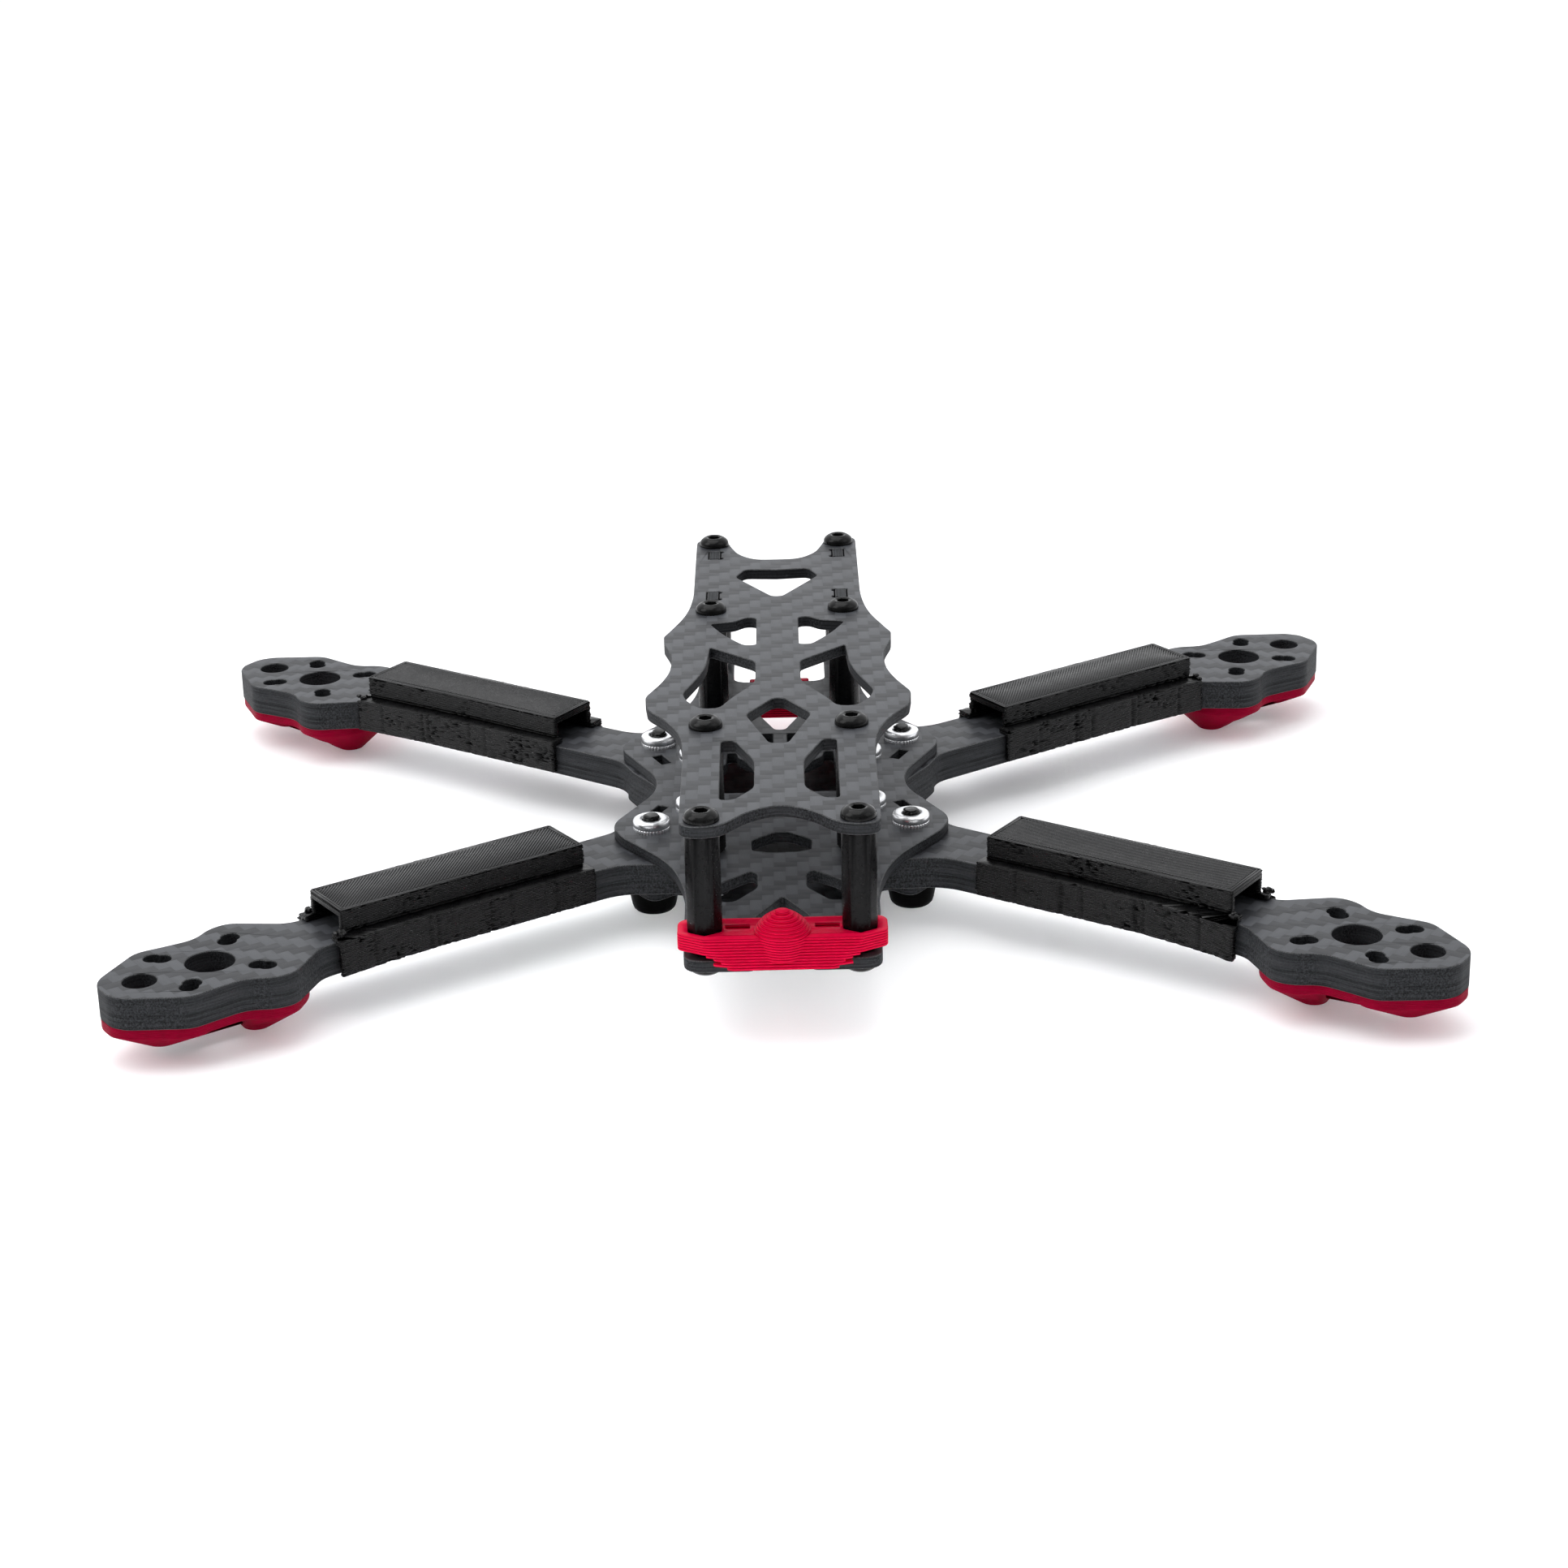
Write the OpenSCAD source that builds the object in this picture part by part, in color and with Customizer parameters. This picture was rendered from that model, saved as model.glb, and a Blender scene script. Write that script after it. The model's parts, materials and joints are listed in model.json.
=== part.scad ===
// Bare quadcopter airframe: four carbon arms clamped between a bottom plate and a mid plate,
// a top plate on eight standoffs, printed arm sleeves, motor guards and bumpers.
// +X right, +Y forward, +Z up; the ground is z = 0 and the four motors surround the origin.

/* [Airframe] */
// Spacing of the motor centres across the frame
motor_span_x = 181; // [177:0.5:185]
// Spacing of the motor centres along the frame
motor_span_y = 134.4; // [131:0.2:138]
// Thickness of the flat carbon plates
plate_t = 2; // [1.5:0.1:2.5]
// Thickness of the carbon arms
arm_t = 5.5; // [4.5:0.1:6]
// Length of the standoffs between the mid and top plates
standoff_len = 20; // [18:0.5:30]
// Height of the rubber feet
foot_h = 5.4; // [5:0.1:9]

/* [Posts and bolts] */
// Half the spacing of the two standoff columns
post_x = 12.1; // [11.9:0.1:12.3]
// Distance of the nose and tail standoffs from the middle
post_y_outer = 71.8; // [71.4:0.1:72]
// Distance of the fore and aft standoffs from the middle
post_y_inner = 30.5; // [30:0.1:31]
// Size of the hexagonal standoffs across flats
post_af = 5; // [4.5:0.1:5.2]
// Radius of the screw shafts
screw_r = 1.5; // [1.4:0.02:1.5]
// Radius of the clearance holes for the screws
hole_r = 1.6; // [1.55:0.01:1.7]
// Outer arm screw, distance from the middle across the frame
arm_screw_x = 22.2; // [22:0.1:22.6]
// Outer arm screw, distance from the middle along the frame
arm_screw_y = 20.5; // [20.2:0.1:20.8]
// Inner arm screw, distance from the middle across the frame
inner_screw_x = 15.1; // [14.8:0.1:15.4]
// Inner arm screw, distance from the middle along the frame
inner_screw_y = 12; // [11.6:0.1:12.4]

/* [Motor seats] */
// Diameter of the hole under each motor
motor_bore_d = 8; // [7:0.1:9]
// Smallest motor bolt circle that the slots take
motor_pcd_min = 16; // [15.6:0.1:16.4]
// Largest motor bolt circle that the slots take
motor_pcd_max = 19; // [18.6:0.1:19.4]
// Diameter of the lightening hole at each arm tip
tip_hole_d = 5.5; // [4.5:0.1:6]

/* [Printed parts] */
// Wall of the arm sleeves
sleeve_wall = 1.1; // [0.8:0.1:1.3]
// Height of the wire tunnel above the arm
tunnel_h = 4.9; // [3.5:0.1:6]
// Thickness of the rim of the motor guards
guard_rim = 1.6; // [1:0.1:2.9]
// Thickness of the tail bumper on the mid plate
bumper_h = 3.7; // [3:0.1:4.5]

/* [Hidden] */
$fn = 48;
z_arm = foot_h + plate_t;
z_mid = z_arm + arm_t;
z_deck = z_mid + plate_t;
z_lid = z_deck + standoff_len;
z_top = z_lid + plate_t;
gap = 0.1;
eps = 0.01;
head_r = 2.85;
head_h = 1.65;
nut_r = 3.15;
nut_h = 1.9;
motor = [motor_span_x / 2, motor_span_y / 2];
arm_angle = atan2(motor.y - arm_screw_y, motor.x - arm_screw_x);

CORNERS = [["front_left", -1, 1], ["front_right", 1, 1], ["rear_left", -1, -1], ["rear_right", 1, -1]];
ROWS = [["nose", post_y_outer], ["fore", post_y_inner], ["aft", -post_y_inner], ["tail", -post_y_outer]];
SIDES = [["left", -1], ["right", 1]];
POSTS = [for (row = ROWS, side = SIDES) [str(row[0], "_", side[0]), side[1] * post_x, row[1]]];

// Outline helpers. A point is [x, y, cut]: its corner is rounded over the length cut,
// or over just under half of a shorter neighbouring edge.
function flat(p) = [p.x, p.y];
function step_to(p, q, d) = flat(p) + (flat(q) - flat(p)) * d / norm(flat(q) - flat(p));
function bend(a, p, b, s) = (1 - s) * (1 - s) * a + 2 * s * (1 - s) * flat(p) + s * s * b;
function corner(p, before, after, steps) =
    let (room = 0.49 * min(norm(flat(p) - flat(before)), norm(flat(p) - flat(after))),
        c = min(p[2], room), a = step_to(p, before, c), b = step_to(p, after, c))
    c == 0 ? [flat(p)] : [for (k = [0 : steps]) bend(a, p, b, k / steps)];
function soft(pts, steps = 5) = let (m = len(pts))
    [for (i = [0 : m - 1]) each corner(pts[i], pts[(i + m - 1) % m], pts[(i + 1) % m], steps)];
function reversed(pts) = [for (i = [len(pts) - 1 : -1 : 0]) pts[i]];
function flipped(pts) = [for (p = reversed(pts)) if (p.x > eps) [-p.x, p.y, p[2]]];
function both_sides(half) = concat(half, flipped(half));
function both_flanks(half) = concat([for (p = half) [p[0], -p[1], p[2]]], reversed(half));

// Half outlines of the plates, from the nose centre line round the right side to the tail centre line
top_half = [
    [0, 61.6, 0], [4.2, 61.7, 2], [7.3, 65.2, 2.2], [8.9, 70.8, 2.6], [9.8, 75.5, 2], [15.5, 75.5, 2.6],
    [15.5, 38, 4.6], [16.6, 28.4, 4.6], [19.8, 18.2, 1.2], [20.4, 16.6, 0.8], [20.2, 12.2, 1.2],
    [18.5, 5.2, 3.4], [18.8, -3, 3.8], [20.2, -8.6, 2.8], [22.4, -14.6, 1], [22.6, -16, 0.6], [22, -22, 1.4],
    [18.6, -27.6, 3.1], [16.2, -34.4, 3.5], [15.6, -43, 4], [15.6, -74.9, 4], [9.4, -74.9, 3.4],
    [4.9, -68.7, 3.6], [0, -66.1, 2.7]];
mid_half = [
    [0, 53.2, 0], [8.8, 53.2, 3], [8.8, 76.3, 1.5], [15.3, 76.3, 1.5], [15.5, 48, 4], [18.4, 36.4, 8],
    [27.2, 24.2, 1.5], [28.7, 20, 1], [28.5, 17, 1.5], [22, 3.6, 3.5], [22, -3.6, 3.5], [28.5, -17, 1.5],
    [28.7, -20, 1], [27.2, -24.2, 1.5], [18.4, -36.4, 8], [15.8, -48, 4], [15.5, -76, 3], [4.3, -76, 1.2],
    [5.2, -60.6, 3], [0, -51, 1.2]];
bottom_front = [[0, 44, 0], [14.6, 44, 3], [14.8, 30, 3], [18, 27.4, 1.5], [21.9, 31.2, 3.5], [27.6, 23, 2],
    [28.2, 17.4, 1.5], [21.8, 3.6, 3.5]];
bottom_half = concat(bottom_front, [for (p = reversed(bottom_front)) [p[0], -p[1], p[2]]]);

// Windows on the centre line, as half outlines, and windows that come in mirrored pairs
nose_window = [[0, 54.9, 0], [6, 55.5, 1.2], [7.8, 50.9, 1], [0.9, 38.7, 1.4]];
diamond_window = [[0.9, -17.3, 0.8], [5.5, -25.2, 1.2], [1.5, -39, 1]];
spine_window = [[0, 46.6, 0], [5.2, 42.5, 1.5], [4.4, 36.5, 1.5], [0.9, 26.6, 0.8]];
stack_window = [[0, 7.4, 0], [3.8, 8, 1], [7.6, 12.4, 0.8], [7.9, 15, 0.6], [9.6, 15, 0.6],
    [9.8, 9.2, 0.6], [10.8, 8.2, 0.8], [10.8, -5, 1.2], [0, -5, 0]];
hex_window = [[0, -23.6, 0], [1.2, -23.6, 0.5], [5.2, -27.2, 1], [5, -31.6, 0.8], [2.3, -32.5, 0.6]];
side_windows = [
    [[3.8, 26, 0.9], [5.6, 26.4, 0.9], [7.8, 24.1, 0.8], [12.2, 23.2, 0.8], [9.6, 16.6, 3], [5.9, 10.7, 1],
        [3.8, 10.9, 0.8]],
    [[12, 10, 0.8], [3.9, 1.8, 1.2], [3.9, -9, 2.4], [8.4, -17.6, 2], [10, -21.8, 1.6], [13.2, -21.8, 1.4],
        [15.6, -17.6, 1.4], [16.3, -14, 1.2], [13.7, -5.6, 2.8], [12.5, 0, 2.8]],
    [[7.2, -37.7, 0.8], [9.5, -37.7, 0.8], [9.5, -63.8, 1], [7.2, -63.8, 1], [4, -58.8, 1.4],
        [4, -46.9, 1.6]]];
spine_slot = [[1.3, 24.4, 0.4], [3.4, 24.4, 0.6], [5.4, 19.6, 0.8], [1.3, 17.5, 0.5]];
tail_window = [[10.2, -45.2, 1], [5, -40.4, 0.8], [4, -42, 0.6], [4, -47.4, 1], [7.8, -53, 0.8],
    [10.2, -53, 0.8]];

// Half widths of an arm's head along the arm, outwards from the neck, u = 0 at the motor centre
head_half = [[-19, 5.8, 2], [-16.2, 6.2, 2], [-8.8, 12.1, 2.6], [-5.2, 11.8, 2], [-1.6, 9.4, 3],
    [4.4, 9.9, 3], [8.2, 10.4, 2], [17, 4.5, 1.6], [18.3, 2, 1]];
guard_half = [[-14.8, 3.4, 2], [-13.3, 7.6, 2], [-9, 11.6, 2.4], [-5.2, 11.5, 2], [-1.6, 9.1, 3],
    [4.4, 9.6, 3], [8.1, 10.2, 2], [16.9, 4.4, 1.6], [18.3, 1.9, 1]];
// The arm's root, in the frame's own axes, from the tail side round the middle to the nose side
root_tail_side = [[28.8, 17, 2], [27, 12, 2], [22, 3.8, 1], [20.6, 0.4, 1]];
root_nose_side = [[12, 0.4, 0.6], [11.2, 2, 1], [11.2, 16.6, 2], [15.4, 26.4, 2], [16.5, 32, 1]];
neck_u = [-64.9, -72.1];
neck_half_w = 6.4;

function on_arm_axis(u, v) = motor + [u * cos(arm_angle) - v * sin(arm_angle),
    u * sin(arm_angle) + v * cos(arm_angle)];
function arm_point(p, side) = let (q = on_arm_axis(p[0], side * p[1])) [q.x, q.y, p[2]];
arm_outline = concat(
    [arm_point([neck_u[0], neck_half_w, 3], -1)],
    [for (p = head_half) arm_point(p, -1)],
    [for (p = reversed(head_half)) arm_point(p, 1)],
    [arm_point([neck_u[1], neck_half_w, 3], 1)],
    reversed(root_nose_side),
    reversed(root_tail_side));

module cut(pts, z, t) {
    translate([0, 0, z - eps]) linear_extrude(t + 2 * eps) polygon(soft(pts, 3));
}
module cut_pair(pts, z, t) {
    for (side = [0, 1]) mirror([side, 0, 0]) cut(pts, z, t);
}
module holes(places, r, z, t) {
    for (p = places) translate([p[0], p[1], z - eps]) cylinder(r = r, h = t + 2 * eps);
}
module slab(outline, z, t) {
    translate([0, 0, z]) linear_extrude(t) polygon(soft(outline));
}
module at_corner(c) {
    mirror([c[1] < 0 ? 1 : 0, 0, 0]) mirror([0, c[2] < 0 ? 1 : 0, 0]) children();
}
module on_arm(c) {
    at_corner(c) translate([motor.x, motor.y, 0]) rotate(arm_angle) children();
}

post_places = [for (p = POSTS) [p[1], p[2]]];
inner_posts = [for (p = post_places) if (abs(p.y) < post_y_outer) p];
outer_screws = [for (c = CORNERS) [c[1] * arm_screw_x, c[2] * arm_screw_y]];
inner_places = [for (c = CORNERS) [c[1] * inner_screw_x, c[2] * inner_screw_y]];

// Camera plates: their tabs pass through matching slots in the top and mid plates
cam_x = 10.9;
cam_t = 2;
cam_y = [34.4, 67.9];
cam_tabs = [39.6, 65];
tab_len = 4.6;
slot_play = 0.25;
module tab_slots(z) {
    for (side = [0, 1], y = cam_tabs) mirror([side, 0, 0]) {
        translate([cam_x - slot_play, y - tab_len / 2 - slot_play, z - eps])
            cube([cam_t + 2 * slot_play, tab_len + 2 * slot_play, plate_t + 2 * eps]);
        for (end = [-1, 1])
            translate([cam_x, y + end * (tab_len / 2 - 0.3), z - eps])
                cylinder(r = 0.75, h = plate_t + 2 * eps, $fn = 8);
    }
}

module top_plate() {
    color([0.26, 0.27, 0.28]) difference() {
        slab(both_sides(top_half), z_lid, plate_t);
        cut(both_sides(nose_window), z_lid, plate_t);
        cut(both_sides(diamond_window), z_lid, plate_t);
        for (window = side_windows) cut_pair(window, z_lid, plate_t);
        holes(post_places, hole_r, z_lid, plate_t);
        tab_slots(z_lid);
    }
}

vent_len = 4.6;
vent_w = 1.9;
module vents(z) {
    for (c = CORNERS) at_corner(c)
        translate([21.4, 12.4, z + plate_t / 2]) rotate(-25)
            cube([vent_w, vent_len, plate_t + 2 * eps], center = true);
}

module mid_plate() {
    color([0.25, 0.26, 0.27]) difference() {
        slab(both_sides(mid_half), z_mid, plate_t);
        cut(both_sides(spine_window), z_mid, plate_t);
        cut(both_sides(stack_window), z_mid, plate_t);
        cut(both_sides(hex_window), z_mid, plate_t);
        cut_pair(spine_slot, z_mid, plate_t);
        cut_pair(tail_window, z_mid, plate_t);
        holes(concat(post_places, outer_screws, inner_places), hole_r, z_mid, plate_t);
        tab_slots(z_mid);
        vents(z_mid);
    }
}

driver_hole_r = 3;
module bottom_plate() {
    color([0.25, 0.26, 0.27]) difference() {
        slab(both_sides(bottom_half), foot_h, plate_t);
        holes(concat(outer_screws, inner_places), hole_r, foot_h, plate_t);
        holes(inner_posts, driver_hole_r, foot_h, plate_t);
    }
}

module camera_plate(side) {
    z0 = z_deck;
    z1 = z_lid;
    zc = (z0 + z1) / 2;
    body = [[cam_y[0], z0, 0], [cam_y[1], z0, 0], [cam_y[1], z0 + 3, 1.5], [63, zc, 3],
        [cam_y[1], z1 - 3, 1.5], [cam_y[1], z1, 0], [cam_y[0], z1, 0], [37, zc, 4]];
    window = [[40.5, z0 + 4, 1.5], [50.5, z0 + 4, 1.5], [47, zc, 1.5], [50.5, z1 - 4, 1.5],
        [40.5, z1 - 4, 1.5], [42, zc, 1.5]];
    color([0.24, 0.25, 0.26]) mirror([side < 0 ? 1 : 0, 0, 0]) difference() {
        union() {
            translate([cam_x, 0, 0]) rotate([90, 0, 90]) linear_extrude(cam_t) polygon(soft(body));
            for (y = cam_tabs) translate([cam_x, y - tab_len / 2, z_mid])
                cube([cam_t, tab_len, z_top - z_mid]);
        }
        translate([cam_x - eps, 0, 0]) rotate([90, 0, 90])
            linear_extrude(cam_t + 2 * eps) polygon(soft(window));
        translate([cam_x - eps, 57.5, zc]) rotate([0, 90, 0]) cylinder(r = 1.1, h = cam_t + 2 * eps);
    }
}

module arm(c) {
    slot_r = 1.55;
    color([0.27, 0.28, 0.29]) at_corner(c) difference() {
        slab(arm_outline, z_arm, arm_t);
        holes([[arm_screw_x, arm_screw_y], [inner_screw_x, inner_screw_y]], hole_r, z_arm, arm_t);
        holes([motor], motor_bore_d / 2, z_arm, arm_t);
        holes([on_arm_axis(12, 0)], tip_hole_d / 2, z_arm, arm_t);
        for (turn = [45 : 90 : 315], d = [motor_pcd_min, motor_pcd_max])
            holes([on_arm_axis(d / 2 * cos(turn), d / 2 * sin(turn))], slot_r, z_arm, arm_t);
    }
}

// Printed sleeve: two skirts beside the arm and a raised, open-ended wire tunnel on top of it.
// The front sleeves sit further out along their arms than the rear ones.
sleeve_end_u = [-18.8, -16.3];
skirt_len = 47.6;
tunnel_len = 45.3;
skirt_in = neck_half_w + gap;
tunnel_half_w = 5.5;
ledge_h = 1;
module along_arm(u, pts) {
    translate([u[0], 0, z_mid]) rotate([90, 0, 90]) linear_extrude(u[1] - u[0]) polygon(pts);
}
module arm_sleeve(c) {
    out = skirt_in + sleeve_wall;
    low = 0.6 - arm_t;
    end_u = sleeve_end_u[c[2] < 0 ? 0 : 1];
    skirt_u = [end_u - skirt_len, end_u];
    tunnel_u = [end_u - 1.4 - tunnel_len, end_u - 1.4];
    inner = tunnel_half_w - sleeve_wall;
    color([0.07, 0.07, 0.08]) on_arm(c) union() {
        for (side = [-1, 1])
            along_arm(skirt_u, [for (p = [[skirt_in, low], [out, low], [out, ledge_h], [inner, ledge_h],
                [inner, 0], [skirt_in, 0]]) [side * p[0], p[1]]]);
        along_arm(tunnel_u, [[-tunnel_half_w, 0], [-tunnel_half_w, tunnel_h], [tunnel_half_w, tunnel_h],
            [tunnel_half_w, 0], [inner, 0], [inner, tunnel_h - sleeve_wall], [-inner, tunnel_h - sleeve_wall],
            [-inner, 0]]);
    }
}

// Motor guard: a rim that follows the arm's head, and a deep inner and a shallow outer belly under it
inner_belly = [-7, 2.3, 0];
outer_belly = [9.2, 2.6, 2];
module belly(place, half) {
    hull() {
        translate([place[0], 0, place[2]]) cylinder(r = place[1], h = 0.4, $fn = 32);
        slab(both_flanks(half), z_arm - guard_rim, 0.2);
    }
}
module motor_guard(c) {
    screws = [for (turn = [45 : 90 : 315]) (motor_pcd_min + motor_pcd_max) / 4 * [cos(turn), sin(turn)]];
    color([0.82, 0.05, 0.2]) on_arm(c) difference() {
        union() {
            slab(both_flanks(guard_half), z_arm - guard_rim, guard_rim);
            belly(inner_belly, [for (p = guard_half) if (p[0] < 0) p]);
            belly(outer_belly, [for (p = guard_half) if (p[0] > 0) p]);
        }
        holes([[0, 0]], motor_bore_d / 2 + 0.2, 0, z_arm);
        holes(screws, 1.9, 0, z_arm);
    }
}

// Rubber foot with a pocket for the head of the arm screw
module foot(c) {
    profile = [[0, 0, 0], [3.2, 0, 0.8], [4.2, 0.6 * foot_h, 1], [4.4, foot_h, 0.4], [0, foot_h, 0]];
    color([0.06, 0.06, 0.06]) translate([c[1] * arm_screw_x, c[2] * arm_screw_y, 0]) difference() {
        rotate_extrude() polygon(soft(profile, 3));
        translate([0, 0, foot_h - head_h - gap]) cylinder(r = head_r + gap, h = head_h + gap + eps);
    }
}

// Tail bumper: a slab round the tail standoffs, a sloped lip over the plate's end and a central cowl
module tail_bumper() {
    top = z_deck + bumper_h;
    lip_z = z_mid + 1;
    half = [[0, -68.2, 0], [15.4, -68.2, 0.8], [16.4, -69.4, 0.8], [16.4, -74.2, 0.8], [12.6, -76.3, 0.3],
        [0, -76.3, 0]];
    cowl = [[4.5, z_deck + 0.3], [4.5, top + 0.2], [3.75, top + 1.4], [2.9, top + 2.2], [1.5, top + 3.1],
        [0.8, top + 3.5]];
    // space under the outer ends, between the bumper and the deck
    wing_gap = [[9.4, z_deck - eps], [17, z_deck - eps], [17, z_deck + 1.3], [12.4, z_deck + 1.1]];
    color([0.85, 0.04, 0.2]) difference() {
        union() {
            slab(both_sides(half), z_deck, bumper_h);
            hull() {
                translate([-12.6, -76.4, z_deck]) cube([25.2, 0.3, bumper_h]);
                translate([-7.6, -77.8, lip_z]) cube([15.2, 1.5, 0.4]);
            }
            translate([0, -73.5, 0]) rotate_extrude()
                polygon(concat([[0, z_deck + 0.3]], cowl, [[0, top + 3.5]]));
        }
        for (side = [-1, 1]) {
            translate([side * post_x, -post_y_outer, z_deck - eps]) rotate(30)
                cylinder(r = post_af / sqrt(3) + 0.15, h = bumper_h + 2 * eps, $fn = 6);
            translate([side * 7 - 1.9, -72.4, top - 1.2]) cube([3.8, 1.5, 1.3]);
        }
        for (side = [0, 1]) mirror([side, 0, 0]) translate([0, -68, 0]) rotate([90, 0, 0])
            linear_extrude(12) polygon(wing_gap);
        translate([-20, -76.1, z_mid - 1]) cube([40, 10, plate_t + 1]);
    }
}

// Nose bumper: two legs under the prongs of the mid plate and a wall that closes the gap between them
module nose_bumper() {
    plan_half = [[0, 55, 0], [9, 57.5, 3], [9, 76, 1.5], [15.2, 76, 1.5], [15.2, 50.4, 1], [8.6, 50.4, 2],
        [6, 53.3, 1.5], [0, 53.3, 0]];
    wall_half = [[0, 53.3, 0], [5.7, 53.3, 0], [5.7, 54.9, 0.4], [0, 54.9, 0]];
    color([0.85, 0.04, 0.2]) difference() {
        union() {
            slab(both_sides(plan_half), z_arm, arm_t);
            slab(both_sides(wall_half), z_mid - 1, plate_t + 1);
        }
        holes([[-post_x, post_y_outer], [post_x, post_y_outer]], hole_r, z_arm, arm_t);
    }
}

module standoff(p) {
    color([0.05, 0.05, 0.05]) translate([p[1], p[2], z_deck]) difference() {
        rotate(30) cylinder(r = post_af / sqrt(3), h = standoff_len, $fn = 6);
        translate([0, 0, -eps]) cylinder(r = screw_r + 0.05, h = standoff_len + 2 * eps);
    }
}

// Button-head screw pointing down from z = 0, with a hexagonal socket in its head
module button_screw(shaft_len) {
    dome = [[0, 0, 0], [head_r, 0, 0], [head_r, 0.35, 0.1], [2.35, 1.45, 0.7], [1.35, head_h, 0.3],
        [0, head_h, 0]];
    difference() {
        union() {
            rotate_extrude() polygon(soft(dome, 4));
            translate([0, 0, -shaft_len]) cylinder(r = screw_r, h = shaft_len + 0.2);
        }
        translate([0, 0, head_h - 1.05]) cylinder(r = 1.16, h = 1.1, $fn = 6);
    }
}
module lock_nut() {
    ring = [[screw_r + 0.05, 0, 0], [nut_r, 0, 0.25], [nut_r, nut_h, 0.5], [screw_r + 0.05, nut_h, 0.3]];
    rotate_extrude() polygon(soft(ring, 2));
}

clamp_screw_len = 12;
module clamp_screw(x, y) {
    color([0.08, 0.08, 0.09]) translate([x, y, foot_h]) rotate([180, 0, 0]) button_screw(clamp_screw_len);
}
module clamp_nut(x, y) {
    color([0.85, 0.86, 0.88]) translate([x, y, z_deck]) lock_nut();
}
module arm_screw(c) { clamp_screw(c[1] * arm_screw_x, c[2] * arm_screw_y); }
module arm_nut(c) { clamp_nut(c[1] * arm_screw_x, c[2] * arm_screw_y); }
module inner_screws() { for (p = inner_places) clamp_screw(p.x, p.y); }
module inner_nuts() { for (p = inner_places) clamp_nut(p.x, p.y); }
module top_screw(p) {
    color([0.08, 0.08, 0.09]) translate([p[1], p[2], z_top]) button_screw(8);
}
// Screws from below: those at the nose also hold the nose bumper
module base_screw(p) {
    at_nose = p[2] > post_y_inner;
    color([0.08, 0.08, 0.09]) translate([p[1], p[2], at_nose ? z_arm : z_mid])
        rotate([180, 0, 0]) button_screw(at_nose ? 12 : 8);
}

top_plate();
mid_plate();
bottom_plate();
tail_bumper();
nose_bumper();
inner_screws();
inner_nuts();
for (side = SIDES) camera_plate(side[1]);
for (c = CORNERS) {
    arm(c);
    arm_sleeve(c);
    motor_guard(c);
    foot(c);
    arm_screw(c);
    arm_nut(c);
}
for (p = POSTS) {
    standoff(p);
    top_screw(p);
    base_screw(p);
}
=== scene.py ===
# Looks for the bare quadcopter airframe: carbon laminates, layered prints, hardware, light and camera.
import json
import math

import bmesh
import bpy
import numpy as np
from mathutils import Matrix, Vector, noise
from mathutils.geometry import tessellate_polygon


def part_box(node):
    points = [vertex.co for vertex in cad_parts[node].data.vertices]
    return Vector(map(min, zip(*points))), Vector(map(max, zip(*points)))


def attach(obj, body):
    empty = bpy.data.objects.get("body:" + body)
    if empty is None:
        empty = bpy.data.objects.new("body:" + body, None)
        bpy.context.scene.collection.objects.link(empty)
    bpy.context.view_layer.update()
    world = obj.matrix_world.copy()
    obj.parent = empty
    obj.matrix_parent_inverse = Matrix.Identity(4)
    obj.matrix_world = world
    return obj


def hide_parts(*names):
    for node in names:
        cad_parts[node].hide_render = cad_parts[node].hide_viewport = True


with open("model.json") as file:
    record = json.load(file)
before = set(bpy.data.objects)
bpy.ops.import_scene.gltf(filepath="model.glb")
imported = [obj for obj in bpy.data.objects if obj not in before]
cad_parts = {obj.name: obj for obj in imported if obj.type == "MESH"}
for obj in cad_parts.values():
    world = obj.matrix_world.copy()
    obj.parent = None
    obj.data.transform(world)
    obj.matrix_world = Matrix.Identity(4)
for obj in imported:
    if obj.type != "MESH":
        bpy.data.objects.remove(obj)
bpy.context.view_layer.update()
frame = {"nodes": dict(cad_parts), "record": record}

MM = 0.001
CORNERS = {"front_left": (-1, 1), "front_right": (1, 1), "rear_left": (-1, -1), "rear_right": (1, -1)}
POSTS = [f"{row}_{side}" for row in ("nose", "fore", "aft", "tail") for side in ("left", "right")]
SIDES = ("left", "right")
MOUNTS = {m["name"]: np.array(m["pos_m"]) / MM for m in frame["record"]["mounts"]}


# ---------------------------------------------------------------- places taken from the frame, in mm

def box_mm(node):
    low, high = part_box(node)
    return np.array(low) / MM, np.array(high) / MM


def middle(node):
    low, high = box_mm(node)
    return (low + high) / 2


def arm_angle():
    """Direction of an arm from its outer screw to its motor, seen from above, on the front right."""
    step = np.abs(MOUNTS["motor_bore_front_right"]) - np.abs(middle("arm_screw_front_right"))
    return math.atan2(step[1], step[0])


ARM_ANGLE = arm_angle()
ARM_TOP = box_mm("arm_front_left")[1][2]
DECK = box_mm("mid_plate")[1][2]


def arm_axes(corner, mirrored):
    """Origin and axes of an arm: outwards along it, across it, and up, from the motor's centre.
    Mirrored axes match the cut arms, which are mirrored pairs; the others match one print turned round."""
    sx, sy = CORNERS[corner]
    out = np.array([sx * math.cos(ARM_ANGLE), sy * math.sin(ARM_ANGLE), 0])
    across = np.array([-out[1], out[0], 0]) * (sx * sy if mirrored else 1)
    origin = MOUNTS[f"motor_bore_{corner}"] * [1, 1, 0]
    return origin, np.array([out, across, [0, 0, 1.0]])


# ---------------------------------------------------------------- slicing a CAD node into outlines

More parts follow.
